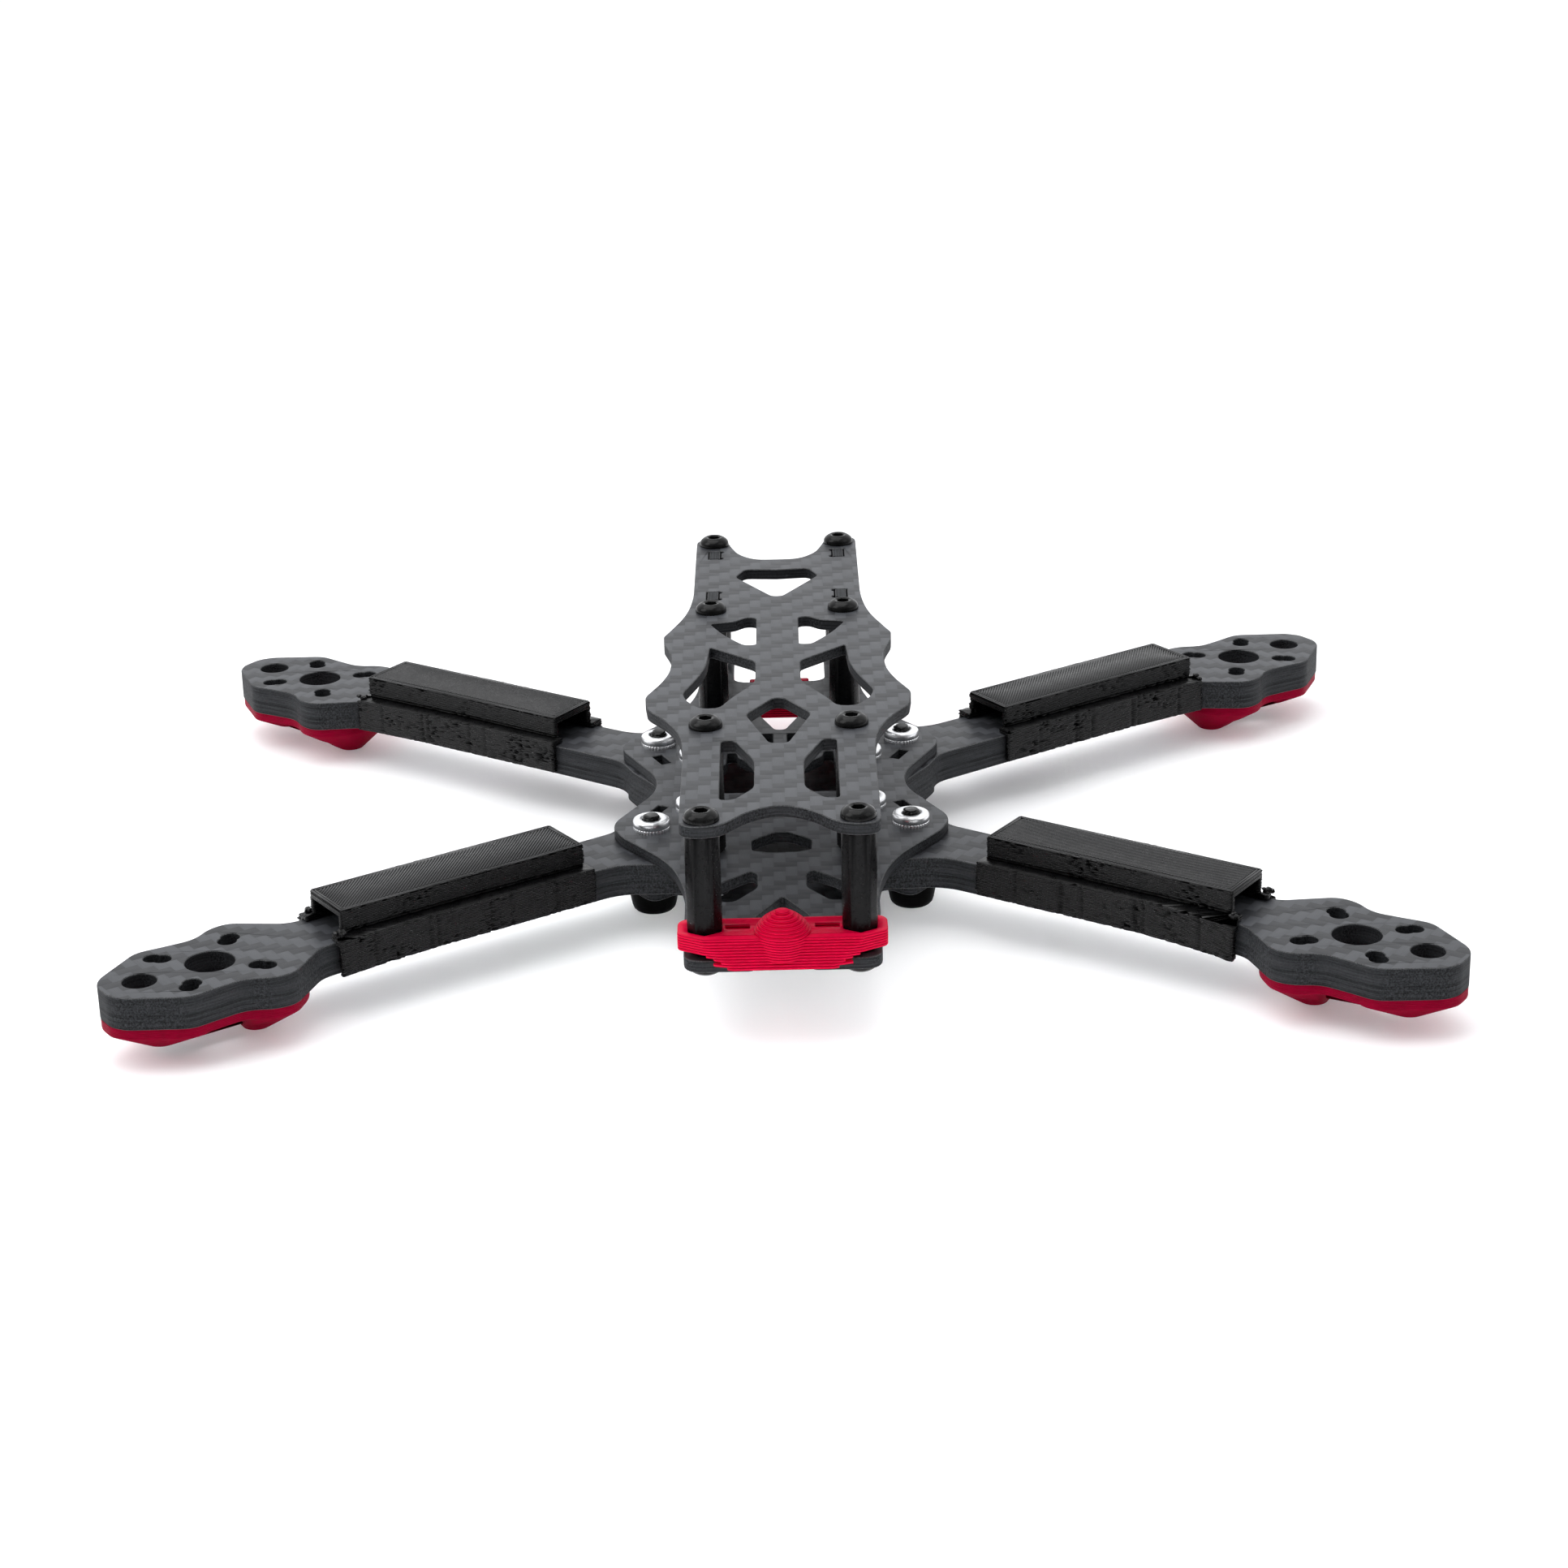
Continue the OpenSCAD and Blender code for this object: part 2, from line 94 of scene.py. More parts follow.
def triangles(node, order):
    """A CAD node's triangles in mm, its axes reordered so that the slicing axis is last."""
    bm = bmesh.new()
    bm.from_mesh(frame["nodes"][node].data)
    bmesh.ops.remove_doubles(bm, verts=bm.verts, dist=1e-6)
    bmesh.ops.triangulate(bm, faces=bm.faces)
    points = np.array([v.co for v in bm.verts])[:, order] / MM
    faces = np.array([[v.index for v in f.verts] for f in bm.faces])
    bm.free()
    return points, faces


def slice_loops(points, faces, z):
    """Closed outlines where the plane at z cuts the mesh: material on the left, so holes run clockwise."""
    above = points[:, 2] > z
    following, place = {}, {}
    for tri in faces[(above[faces].sum(1) % 3) != 0]:
        ends = []
        for a, b in ((tri[0], tri[1]), (tri[1], tri[2]), (tri[2], tri[0])):
            if above[a] != above[b]:
                key = (min(a, b), max(a, b))
                t = (z - points[key[0], 2]) / (points[key[1], 2] - points[key[0], 2])
                place[key] = points[key[0], :2] + t * (points[key[1], :2] - points[key[0], :2])
                ends.append((key, above[b]))
        first, last = (ends[0][0], ends[1][0]) if ends[0][1] else (ends[1][0], ends[0][0])
        following[last] = first
    loops = []
    while following:
        start, key = following.popitem()
        loop = [place[start]]
        while key != start:
            loop.append(place[key])
            key = following.pop(key)
        loops.append(np.array(loop))
    return loops


def thin_out(loop, least):
    """Drops points closer than least to the one before."""
    keep = [loop[0]]
    for p in loop[1:]:
        if np.linalg.norm(p - keep[-1]) > least:
            keep.append(p)
    if len(keep) > 3 and np.linalg.norm(keep[0] - keep[-1]) < least:
        keep.pop()
    return np.array(keep)


def resample(loop, spacing):
    """The same closed outline with even steps of about spacing, as a nozzle follows it."""
    closed = np.vstack([loop, loop[:1]])
    run = np.concatenate([[0], np.cumsum(np.linalg.norm(np.diff(closed, axis=0), axis=1))])
    count = max(10, int(round(run[-1] / spacing)))
    at = np.linspace(0, run[-1], count, endpoint=False)
    return np.column_stack([np.interp(at, run, closed[:, k]) for k in (0, 1)])


def outward(loop):
    """Mitred outward normals of an outline with its material on the left."""
    before = loop - np.roll(loop, 1, axis=0)
    after = np.roll(loop, -1, axis=0) - loop
    before /= np.linalg.norm(before, axis=1)[:, None] + 1e-9
    after /= np.linalg.norm(after, axis=1)[:, None] + 1e-9
    n = np.column_stack([before[:, 1] + after[:, 1], -before[:, 0] - after[:, 0]])
    n /= np.linalg.norm(n, axis=1)[:, None] + 1e-9
    mitre = np.clip((n * np.column_stack([after[:, 1], -after[:, 0]])).sum(1), 0.6, 1)
    return n / mitre[:, None]


# painted shade: a printed wall is painted darker by this much per mm that it is pushed in
PIT_SHADE = 2.2     # how much darker a wall gets per mm that it is pushed in


class Stack:
    """Collects rings of points and joins them into closed walls with filled ends."""

    def __init__(self):
        self.verts, self.faces, self.crowns, self.count = [], [], [], 0

    def add(self, loops, levels):
        """One closed slab: levels are (height, inset) or (height, inset per point of every loop)."""
        bottoms, tops = [], []
        for loop_no, loop in enumerate(loops):
            normal, n = outward(loop), len(loop)
            first = self.count
            for k, (z, inset) in enumerate(levels):
                depth = inset[loop_no][:, None] if isinstance(inset, list) else np.full((n, 1), inset)
                self.verts.append(np.column_stack([loop - normal * depth, np.full(n, z)]))
                # painted shade: walls pushed in further are painted darker, and the groove rings between
                # layers get 0
                lit = np.clip(1 - PIT_SHADE * depth[:, 0], 0.05, 1)
                self.crowns.append(lit * (0 < k < len(levels) - 1))
                self.count += n
            here = np.arange(n)
            there = (here + 1) % n
            for k in range(len(levels) - 1):
                a, b = first + k * n, first + (k + 1) * n
                self.faces += np.column_stack([a + here, a + there, b + there, b + here]).tolist()
            bottoms.append(first)
            tops.append(first + (len(levels) - 1) * n)
        index = np.concatenate([np.arange(len(loop)) for loop in loops])
        owner = np.concatenate([np.full(len(loop), k) for k, loop in enumerate(loops)])
        flat = [[Vector((p[0], p[1], 0)) for p in loop] for loop in loops]
        for tri in tessellate_polygon(flat):
            a, b, c = (np.concatenate(loops)[k] for k in tri)
            turn = (b[0] - a[0]) * (c[1] - a[1]) - (b[1] - a[1]) * (c[0] - a[0])
            up = tri if turn > 0 else tri[::-1]
            self.faces.append([int(tops[owner[k]] + index[k]) for k in up])
            self.faces.append([int(bottoms[owner[k]] + index[k]) for k in reversed(up)])

    def points(self):
        return np.concatenate(self.verts)

    def crown(self):
        """Painted shade per point: 1 on the bulge of each layer, less in its pits, 0 in the grooves between
        layers.
        """
        return np.concatenate(self.crowns)


def piece(name, points, faces, material, slot, node=None, sharp=35.0, crown=None):
    """A finished mesh piece from points in mm. It rides on the frame and can stand for a CAD node."""
    mesh = bpy.data.meshes.new(name)
    mesh.from_pydata((np.asarray(points) * MM).tolist(), [], faces)
    mesh.validate()
    mesh.update()
    obj = bpy.data.objects.new(name, mesh)
    bpy.context.scene.collection.objects.link(obj)
    for m in material if isinstance(material, (list, tuple)) else [material]:
        mesh.materials.append(m)
    mesh.polygons.foreach_set("use_smooth", [True] * len(mesh.polygons))
    if crown is not None:
        # flat tops of layers get no painted shade and are as light as the bulges, only the grooves in the
        # walls are painted dark
        corners = np.empty(len(mesh.loops), int)
        mesh.loops.foreach_get("vertex_index", corners)
        level = np.array([abs(p.normal.z) > 0.97 for p in mesh.polygons])
        level = np.repeat(level, [p.loop_total for p in mesh.polygons])
        value = np.where(level, np.maximum(crown[corners], 0.9), crown[corners])
        mesh.attributes.new("crown", "FLOAT", "CORNER").data.foreach_set("value", value)
    mesh.set_sharp_from_angle(angle=math.radians(sharp))
    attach(obj, "root")
    if node:
        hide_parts(node)
    return obj


# ---------------------------------------------------------------- node materials

class Shader:
    """A small helper that builds a node material in one readable line per node."""

    def __init__(self, name):
        self.material = bpy.data.materials.new(name)
        self.material.use_nodes = True
        self.tree = self.material.node_tree
        self.tree.nodes.clear()
        self.bsdf = self.add("ShaderNodeBsdfPrincipled")
        out = self.add("ShaderNodeOutputMaterial")
        self.tree.links.new(self.bsdf.outputs[0], out.inputs["Surface"])

    def add(self, kind, **settings):
        node = self.tree.nodes.new(kind)
        for key, value in settings.items():
            setattr(node, key, value)
        return node

    def put(self, socket, value):
        if isinstance(value, bpy.types.NodeSocket):
            self.tree.links.new(value, socket)
        elif isinstance(value, (tuple, list)) and len(value) == 3 and socket.type == "RGBA":
            socket.default_value = (*value, 1)
        else:
            socket.default_value = value

    def set(self, **values):
        for key, value in values.items():
            self.put(self.bsdf.inputs[key.replace("_", " ")], value)

    def math(self, operation, a, b=0.0):
        node = self.add("ShaderNodeMath", operation=operation)
        self.put(node.inputs[0], a)
        self.put(node.inputs[1], b)
        return node.outputs[0]

    def mix(self, share, a, b):
        """Mixes two colours."""
        node = self.add("ShaderNodeMix", data_type="RGBA")
        self.put(node.inputs["Factor"], share)
        self.put(node.inputs["A"], a)
        self.put(node.inputs["B"], b)
        return node.outputs["Result"]

    def blend(self, share, a, b):
        """Mixes two numbers."""
        node = self.add("ShaderNodeMix", data_type="FLOAT")
        self.put(node.inputs["Factor"], share)
        self.put(node.inputs["A"], a)
        self.put(node.inputs["B"], b)
        return node.outputs["Result"]

    def spread(self, value, low, high, to_low=0.0, to_high=1.0):
        """Stretches a number from one range to another."""
        node = self.add("ShaderNodeMapRange", clamp=True)
        for socket, number in zip(node.inputs, (value, low, high, to_low, to_high)):
            self.put(socket, number)
        return node.outputs[0]

    def parts(self, vector):
        node = self.add("ShaderNodeSeparateXYZ")
        self.put(node.inputs[0], vector)
        return node.outputs

    def vector(self, x=0.0, y=0.0, z=0.0):
        node = self.add("ShaderNodeCombineXYZ")
        for socket, number in zip(node.inputs, (x, y, z)):
            self.put(socket, number)
        return node.outputs[0]

    def noise(self, vector, scale, detail=2.0, rough=0.5):
        node = self.add("ShaderNodeTexNoise")
        self.put(node.inputs["Vector"], vector)
        self.put(node.inputs["Scale"], scale)
        self.put(node.inputs["Detail"], detail)
        self.put(node.inputs["Roughness"], rough)
        return node.outputs[0]

    def white(self, vector):
        node = self.add("ShaderNodeTexWhiteNoise")
        self.put(node.inputs["Vector"], vector)
        return node.outputs["Value"]

    def attribute(self, name):
        return self.add("ShaderNodeAttribute", attribute_name=name)

    def millimetres(self):
        """Object coordinates in mm."""
        coords = self.add("ShaderNodeTexCoord").outputs["Object"]
        node = self.add("ShaderNodeVectorMath", operation="SCALE")
        self.put(node.inputs[0], coords)
        self.put(node.inputs["Scale"], 1 / MM)
        return node.outputs[0]

    def bump(self, height, depth_mm):
        node = self.add("ShaderNodeBump")
        self.put(node.inputs["Height"], height)
        self.put(node.inputs["Strength"], 1.0)
        self.put(node.inputs["Distance"], depth_mm * MM)
        self.put(self.bsdf.inputs["Normal"], node.outputs[0])


TOW = 1.95          # width of one tow of the twill, mm
PLY = 0.26          # thickness of one ply, mm


def carbon_material():
    """2 by 2 twill on the faces, plies and speckle on the cut edges. The attribute cloth holds the
    laminate's own coordinates in mm, cut marks the cut edges and skew how far they are from the fibres."""
    s = Shader("carbon_laminate")
    cloth = s.attribute("cloth").outputs["Vector"]
    u, v, w = s.parts(cloth)
    tu, tv = s.math("DIVIDE", u, TOW), s.math("DIVIDE", v, TOW)
    iu, iv = s.math("FLOOR", tu), s.math("FLOOR", tv)
    fu, fv = s.math("SUBTRACT", tu, iu), s.math("SUBTRACT", tv, iv)
    phase = s.math("FLOORED_MODULO", s.math("ADD", iu, iv), 4.0)
    warp = s.math("LESS_THAN", phase, 1.5)
    across = s.blend(warp, fv, fu)
    along = s.blend(warp, s.math("MULTIPLY", s.math("ADD", s.math("SUBTRACT", phase, 2.0), fu), 0.5),
                    s.math("MULTIPLY", s.math("ADD", phase, fv), 0.5))
    crown = s.math("SINE", s.math("MULTIPLY", across, math.pi))
    arch = s.math("SINE", s.math("MULTIPLY", along, math.pi))
    seam = s.math("POWER", s.math("MULTIPLY", crown, crown), 0.25)
    tow_id = s.blend(warp, iv, iu)
    shade = s.white(s.vector(tow_id, warp, 0.0))
    patch = s.noise(cloth, 0.11, 2.0)
    fine_u = s.noise(s.vector(s.math("MULTIPLY", u, 0.5), s.math("MULTIPLY", v, 9.0), w), 1.0, 3.0)
    fine_v = s.noise(s.vector(s.math("MULTIPLY", u, 9.0), s.math("MULTIPLY", v, 0.5), w), 1.0, 3.0)
    fibre = s.blend(warp, fine_u, fine_v)
    tone = s.math("ADD", s.math("MULTIPLY", warp, 0.40), s.math("MULTIPLY", shade, 0.16))
    tone = s.math("ADD", tone, s.math("MULTIPLY", fibre, 0.34))
    tone = s.math("ADD", tone, s.math("MULTIPLY", patch, 0.22))
    # painted shade in the creases between tows: the tone drops to 0.82 at each tow's edges
    tone = s.math("MULTIPLY", tone, s.blend(seam, 0.82, 1.0))
    face_colour = s.mix(s.spread(tone, 0.22, 0.78), (0.017, 0.0177, 0.0205), (0.059, 0.062, 0.069))

    layer = s.math("DIVIDE", w, PLY)
    ply_tone = s.white(s.vector(s.math("FLOOR", layer), 3.0, 0.0))
    line = s.math("ABSOLUTE", s.math("SUBTRACT", s.math("FRACT", layer), 0.5))
    streak = s.noise(s.vector(s.math("MULTIPLY", u, 0.22), s.math("MULTIPLY", v, 0.22),
                              s.math("MULTIPLY", w, 7.0)), 1.0, 3.0, 0.6)
    speck = s.noise(cloth, 3.2, 3.0, 0.78)
    plain = s.math("ADD", s.math("MULTIPLY", streak, 0.75), s.math("MULTIPLY", ply_tone, 0.25))
    plain = s.math("SUBTRACT", plain, s.spread(line, 0.40, 0.5, 0.0, 0.28))
    rough_cut = s.spread(speck, 0.36, 0.68)
    skew = s.spread(s.attribute("skew").outputs["Fac"], 0.55, 1.0)
    edge_tone = s.blend(s.math("MULTIPLY", skew, 0.5), plain, rough_cut)
    edge_tone = s.blend(0.15, edge_tone, rough_cut)
    # the cut edges are darker than the faces: partly the rough cut's own colour, partly painted shade on the
    # walls
    edge_colour = s.mix(s.spread(edge_tone, 0.2, 0.8), (0.0015, 0.0016, 0.002), (0.050, 0.053, 0.058))

    cut = s.attribute("cut").outputs["Fac"]
    s.set(Base_Color=s.mix(cut, face_colour, edge_colour), Roughness=s.blend(cut, 0.42, 0.6),
          IOR=1.5, Specular_IOR_Level=s.blend(cut, 0.28, 0.12))
    height = s.blend(cut, s.math("ADD", s.math("MULTIPLY", s.math("MULTIPLY", crown, arch), 0.7),
                                 s.math("MULTIPLY", fibre, 0.3)),
                     s.math("ADD", s.math("MULTIPLY", speck, 0.7), s.math("MULTIPLY", streak, 0.6)))
    s.bump(height, 0.035)
    return s.material


def chamfer_material():
    """The narrow chamfer round every cut: broken fibre ends, paler than the faces, and the pale colour also
    paints in the highlight they catch.
    """
    s = Shader("carbon_chamfer")
    cloth = s.attribute("cloth").outputs["Vector"]
    grain = s.noise(cloth, 5.0, 3.0, 0.8)
    s.set(Base_Color=s.mix(s.spread(grain, 0.35, 0.7), (0.012, 0.012, 0.013), (0.12, 0.123, 0.128)),
          Roughness=0.6, Specular_IOR_Level=0.25)
    s.bump(grain, 0.03)
    return s.material


def print_material(name, dark, light, roughness, gloss, grain_mm, lines=0.0):
    """Printed plastic: fine mottling along the beads, duller and lighter patches, tiny pits. The
    attribute crown paints shade into the grooves and pits by the share lines, and paints a highlight on
    raised beads above 1."""
    s = Shader(name)
    mm = s.millimetres()
    x, y, z = s.parts(mm)
    bead = s.noise(s.vector(s.math("MULTIPLY", x, 0.5), s.math("MULTIPLY", y, 0.5),
                            s.math("MULTIPLY", z, 5.0)), 1.0, 3.0, 0.6)
    pits = s.noise(mm, 3.4, 3.0, 0.7)
    cloud = s.noise(mm, 0.7, 3.0, 0.6)
    tone = s.math("ADD", s.math("MULTIPLY", bead, 0.55), s.math("MULTIPLY", cloud, 0.45))
    plain = s.mix(s.spread(tone, 0.3, 0.7), dark, light)
    line = s.attribute("crown").outputs["Fac"]
    # painted shade in the grooves and pits: a crown below 0.9 mixes towards a colour far darker than the
    # plastic, by the share lines
    crown = s.spread(line, 0.1, 0.9, 1.0 - lines, 1.0)
    # painted highlight: raised beads with crown above 1 are painted up to 2.4 times lighter than the plastic
    plain = s.mix(s.spread(line, 1.0, 2.0), plain, tuple(2.4 * c for c in light))
    s.set(Base_Color=s.mix(crown, tuple(0.15 * c for c in dark), plain),
          Roughness=s.spread(s.math("ADD", pits, cloud), 0.7, 1.3, roughness - 0.1, roughness + 0.12),
          Specular_IOR_Level=s.math("MULTIPLY", crown, gloss))
    s.bump(s.math("ADD", s.math("MULTIPLY", pits, 0.6), s.math("MULTIPLY", bead, 0.6)), grain_mm)
    return s.material


def metal_material(name, dark, light, roughness, metallic, scale, gloss=0.5):
    """Plated or blackened steel with faint handling marks."""
    s = Shader(name)
    mm = s.millimetres()
    marks = s.noise(mm, scale, 4.0, 0.65)
    wear = s.noise(mm, scale * 0.25, 2.0)
    s.set(Base_Color=s.mix(s.spread(wear, 0.35, 0.65), dark, light), Metallic=metallic,
          Roughness=s.spread(marks, 0.3, 0.7, roughness - 0.07, roughness + 0.1), Specular_IOR_Level=gloss)
    s.bump(marks, 0.008)
    return s.material


# dark and light colour, roughness, gloss, depth of the grain in mm, how dark the painted shade in the grooves
# between lines is
BLACK_PLASTIC = ((0.0008, 0.0008, 0.0009), (0.0075, 0.0075, 0.008), 0.3, 0.3, 0.03, 1.0)
RED_PLASTIC = ((0.60, 0.0, 0.032), (0.78, 0.0, 0.050), 0.42, 0.06, 0.015, 0.75)
# painted shade: the guards are printed in the same red as the bumpers, and this darker copy of its colour
# paints the shade on them
RED_PLASTIC_IN_PAINTED_SHADE = ((0.22, 0.0, 0.016), (0.33, 0.0, 0.028), 0.42, 0.04, 0.015, 0.45)
RUBBER = ((0.001, 0.001, 0.0011), (0.0022, 0.0022, 0.0024), 0.5, 0.03, 0.03)
# dark and light colour, roughness, metallic share, marks per mm, gloss
BLACK_OXIDE = ((0.003, 0.003, 0.003), (0.008, 0.008, 0.008), 0.14, 0.0, 3.0, 0.15)
BLACK_ANODISED = ((0.0022, 0.0022, 0.0026), (0.0045, 0.0045, 0.005), 0.3, 0.0, 2.0, 0.10)
BRIGHT_ZINC = ((0.86, 0.87, 0.89), (0.96, 0.965, 0.975), 0.32, 1.0, 1.2)

MATERIALS = {
    "carbon": carbon_material(),
    "chamfer": chamfer_material(),
    "black_print": print_material("black_print", *BLACK_PLASTIC),
    "red_print": print_material("red_print", *RED_PLASTIC),
    "red_in_painted_shade": print_material("red_print_in_painted_shade", *RED_PLASTIC_IN_PAINTED_SHADE),
    "rubber": print_material("foot_rubber", *RUBBER),
    "black_steel": metal_material("black_oxide", *BLACK_OXIDE),
    "post": metal_material("black_anodised", *BLACK_ANODISED),
    "zinc": metal_material("bright_zinc", *BRIGHT_ZINC),
}


# ---------------------------------------------------------------- carbon plates and arms

CHAMFER = 0.13      # width of the broken edges, mm


def laminate(node, order, origin, axes):
    """A flat laminate cut from the CAD node's own outline, with chamfered edges and its cloth coordinates.
    order puts the thin axis last; axes are the two fibre directions and the thickness direction."""
    points, faces = triangles(node, order)
    low, high = points[:, 2].min(), points[:, 2].max()
    off_middle = 0.013      # keeps the cut clear of any vertices at half the thickness
    cuts = slice_loops(points, faces, (low + high) / 2 + off_middle)
    loops = [thin_out(loop, 0.02) for loop in cuts]
    stack = Stack()
    stack.add(loops, [(low, CHAMFER), (low + CHAMFER, 0), (high - CHAMFER, 0), (high, CHAMFER)])
    back = np.argsort(order)
    placed = stack.points()[:, back]
    made = stack.faces
    if np.linalg.det(np.eye(3)[order]) < 0:
        made = [f[::-1] for f in made]
    obj = piece(f"{node}_laminate", placed, made, [MATERIALS["carbon"], MATERIALS["chamfer"]], "carbon", node)
    mesh = obj.data
    cloth = (placed - origin) @ np.asarray(axes).T
    mesh.attributes.new("cloth", "FLOAT_VECTOR", "POINT").data.foreach_set("vector", cloth.ravel())
    normals = np.array([p.normal for p in mesh.polygons]) @ np.asarray(axes).T
    steep = np.abs(normals[:, 2])
    cut = (steep < 0.9).astype(float)
    flat = np.linalg.norm(normals[:, :2], axis=1) + 1e-6
    skew = np.abs(2 * normals[:, 0] * normals[:, 1]) / flat ** 2 * cut
    mesh.attributes.new("cut", "FLOAT", "FACE").data.foreach_set("value", cut)
    mesh.attributes.new("skew", "FLOAT", "FACE").data.foreach_set("value", skew)
    mesh.polygons.foreach_set("material_index", ((steep > 0.2) & (steep < 0.9)).astype(int))
    return obj


PLATE_AXES = [[1, 0, 0], [0, -1, 0], [0, 0, 1]]
for plate in ("top_plate", "mid_plate", "bottom_plate"):
    laminate(plate, [0, 1, 2], box_mm(plate)[0], PLATE_AXES)
for side in SIDES:
    laminate(f"camera_plate_{side}", [1, 2, 0], box_mm(f"camera_plate_{side}")[0],
             [[0, 1, 0], [0, 0, 1], [1, 0, 0]])
for corner in CORNERS:
    laminate(f"arm_{corner}", [0, 1, 2], *arm_axes(corner, mirrored=True))


# ---------------------------------------------------------------- layered prints

def hull_of(points):
    """Convex outline of a set of points, with its inside on the left."""
    points = sorted(map(tuple, points))

    def half(run):
        out = []
        for p in run:
            while len(out) > 1 and ((out[-1][0] - out[-2][0]) * (p[1] - out[-2][1])
                                    - (out[-1][1] - out[-2][1]) * (p[0] - out[-2][0])) <= 1e-9:
                out.pop()
            out.append(p)
        return out[:-1]

    return np.array(half(points) + half(points[::-1]))


GUARD_REACH = 14.8      # from the motor's centre to the guard's inner end, mm
GUARD_RIM = 1.6         # height of the rim that the bellies hang from, mm


def closed_bellies(node, rim):
    """How a node's slices are tidied. Below the height rim, each slice of a motor guard becomes the hulls
    of its inner and outer belly, so the holes through them are closed over. Other nodes stay as cut."""
    if not node.startswith("motor_guard"):
        return lambda loops, z: loops
    origin, axes = arm_axes(node[len("motor_guard_"):], mirrored=False)
    points, _ = triangles(node, [0, 1, 2])
    along = (points - origin) @ axes[0]
    motor = along.min() + GUARD_REACH

    def tidy(loops, z):
        if z > rim:
            return loops
        every = np.concatenate(loops)
        u = (every - origin[:2]) @ axes[0, :2] - motor
        parts = [every[u < 0.3], every[u > -0.3]]
        return [hull_of(p) for p in parts if len(p) > 5 and np.ptp(p, axis=0).min() > 0.8]

    return tidy


def layered(node, layer, spacing, groove, shape, seed):
    """Prints a CAD node: it is sliced into layers, and each layer is a bulging bead round its outline.
    shape(points, z, normals, seed) gives how far each outline point is pushed in, in mm."""
    points, faces = triangles(node, [0, 1, 2])
    low, high = points[:, 2].min(), points[:, 2].max()
    count = int(round((high - low) / layer))
    step = (high - low) / count
    stack = Stack()
    tidy = closed_bellies(node, high - GUARD_RIM)
    for k in range(count):
        z = low + k * step
        cuts = tidy(slice_loops(points, faces, z + 0.497 * step), z + 0.5 * step)
        loops = [resample(loop, spacing) for loop in cuts]
        dents = [shape(loop, z, outward(loop), seed) for loop in loops]
        edge = [d + groove for d in dents]
        join = 0.04 * step
        stack.add(loops, [(z - join, edge), (z + 0.25 * step, dents), (z + 0.75 * step, dents),
                          (z + step + join, edge)])
    return stack


def red_wall(loop, z, normals, seed):
    """Small in and out wander of each red line."""
    return np.array([0.02 * noise.noise(Vector((p[0] * 0.6, p[1] * 0.6, z * 7.1 + seed))) for p in loop])


# layer height, depth of the groove between layers, material
BUMPER_PRINT = (0.44, 0.09, "red_print")
# the guards take the darker copy of the red, which is painted shade
GUARD_PRINT = (0.22, 0.04, "red_in_painted_shade")
for number, name in enumerate(["tail_bumper", "nose_bumper"] + [f"motor_guard_{c}" for c in CORNERS]):
    layer, groove, look = GUARD_PRINT if name.startswith("motor_guard") else BUMPER_PRINT
    printed = layered(name, layer, 0.45, groove, red_wall, number * 3.7)
    piece(f"{name}_print", printed.points(), printed.faces, MATERIALS[look], "red_print", name, 60,
          printed.crown())


# ---------------------------------------------------------------- turned forms

def turned(rings, close_start=True, close_end=True):
    """Points and faces of a skin over rings of equal length, given from one end to the other."""
    n = len(rings[0])
    faces = []
    for k in range(len(rings) - 1):
        for j in range(n):
            jj = (j + 1) % n
            faces.append([k * n + j, k * n + jj, (k + 1) * n + jj, (k + 1) * n + j])
    if close_start:
        faces.append(list(reversed(range(n))))
    if close_end:
        faces.append([(len(rings) - 1) * n + j for j in range(n)])
    return np.concatenate(rings), faces


def ring(radius, z, count=48, turn=0.0):
    """A ring of points. radius is a number or a function of the angle."""
    angles = np.linspace(0, 2 * np.pi, count, endpoint=False) + turn
    r = np.array([radius(a) for a in angles]) if callable(radius) else np.full(count, float(radius))
    return np.column_stack([r * np.cos(angles), r * np.sin(angles), np.full(count, z)])


def hexagon(apothem):
    """Radius of a hexagon at an angle."""
    return lambda a: apothem / math.cos((a % (math.pi / 3)) - math.pi / 6)


def merged(groups):
    """Joins several (points, faces) into one."""
    points, faces, start = [], [], 0
    for p, f in groups:
        points.append(p)
        faces += [[k + start for k in face] for face in f]
        start += len(p)
    return np.concatenate(points), faces


# ---------------------------------------------------------------- arm sleeves

SLEEVE_LAYER = 0.3
SLEEVE_GROOVE = 0.12
BEAD_W = 0.48           # width of a line on the top
BEAD_H = 0.19           # how far it rises and sinks from the top's height
SEAMS = (0.16, 0.34, 0.42, 0.63, 0.66, 0.87)    # where upright seams stand, in shares of the length
SEAM_HALF_W = 0.24
SLIT = (1.0, 1.5)       # the slit under the tunnel, from the arm's top
RAGGED = 1.2            # reach of the ragged stretch at each end


